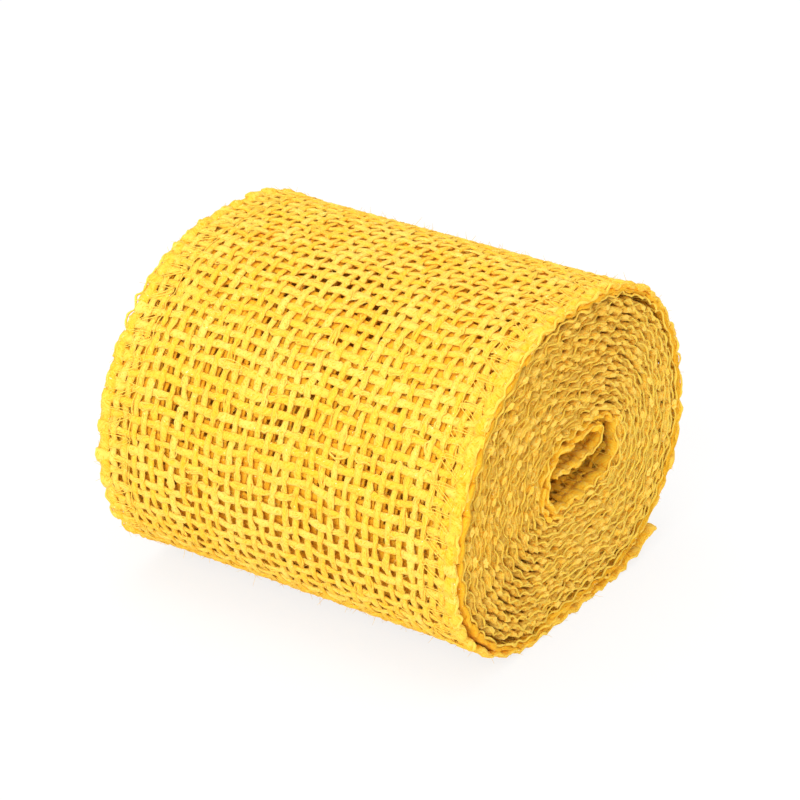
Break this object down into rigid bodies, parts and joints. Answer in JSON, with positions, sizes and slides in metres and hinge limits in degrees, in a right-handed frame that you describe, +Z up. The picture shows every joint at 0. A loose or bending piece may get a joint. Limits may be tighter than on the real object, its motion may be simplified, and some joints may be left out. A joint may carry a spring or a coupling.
{
  "type": "ribbon roll",
  "caption": "Coreless roll of open-weave jute gift ribbon with overlocked edges, lying on its side; its lifted outer end presses flat or closes, and its inner end swings.",
  "frame": {"origin": "on the table under the middle of the roll, which is the bottom centre of its box", "axes": "+Z up; Y along the roll's axis, with -Y at the front end face; +X to the right of a viewer who looks along +Y, on the side of the lifted tail"},
  "size_m": [0.0596, 0.06, 0.0483],
  "materials": {
    "jute": "matt dyed jute yarn",
    "thread": "slightly shiny spun polyester"
  },
  "bodies": {
    "root": {"inner_fold": "jute", "turn_01": "jute", "turn_02": "jute", "turn_03": "jute", "turn_04": "jute", "turn_05": "jute", "turn_06": "jute", "turn_07": "jute", "turn_08": "jute", "turn_09": "jute", "turn_10": "jute", "turn_11": "jute", "turn_12": "jute", "turn_13": "jute", "turn_14": "jute", "turn_15": "jute", "turn_16": "jute", "turn_17": "jute", "resting_run": "jute", "front_needle_thread": "thread", "front_upper_looper": "thread", "front_lower_looper": "thread", "rear_needle_thread": "thread", "rear_upper_looper": "thread", "rear_lower_looper": "thread"},
    "tongue": {"tongue": "jute", "tongue_front_threads": "thread", "tongue_rear_threads": "thread"},
    "tail_1": {"tail_1": "jute", "tail_1_front_threads": "thread", "tail_1_rear_threads": "thread"},
    "tail_2": {"tail_2": "jute", "tail_2_front_threads": "thread", "tail_2_rear_threads": "thread"},
    "tail_3": {"tail_3": "jute", "tail_3_front_threads": "thread", "tail_3_rear_threads": "thread"}
  },
  "joints": [
    {"name": "tail_peel", "type": "hinge", "parent": "root", "child": "tail_1", "pos_m": [0.00915, 0, 0], "axis": [0, 1, 0], "range_deg": [-2, 4.5], "stiffness_Nm_per_rad": 0.0004, "springref_deg": -1.82},
    {"name": "tail_peel_2", "type": "hinge", "parent": "tail_1", "child": "tail_2", "pos_m": [0.0143, 0, 0.00044], "axis": [0, 1, 0], "range_deg": [-4, 9], "stiffness_Nm_per_rad": 0.0004, "springref_deg": -0.78},
    {"name": "tail_peel_3", "type": "hinge", "parent": "tail_2", "child": "tail_3", "pos_m": [0.01931, 0, 0.00169], "axis": [0, 1, 0], "range_deg": [-4, 9], "stiffness_Nm_per_rad": 0.0004, "springref_deg": -0.18},
    {"name": "tongue_swing", "type": "hinge", "parent": "root", "child": "tongue", "pos_m": [0.00558, 0, 0.02372], "axis": [0, 1, 0], "range_deg": [-8, 8], "stiffness_Nm_per_rad": 0.0004, "springref_deg": 0.84}
  ],
  "couplings": [
    {"joint": "tail_peel_2", "follows": "tail_peel", "ratio": 2},
    {"joint": "tail_peel_3", "follows": "tail_peel", "ratio": 2}
  ]
}
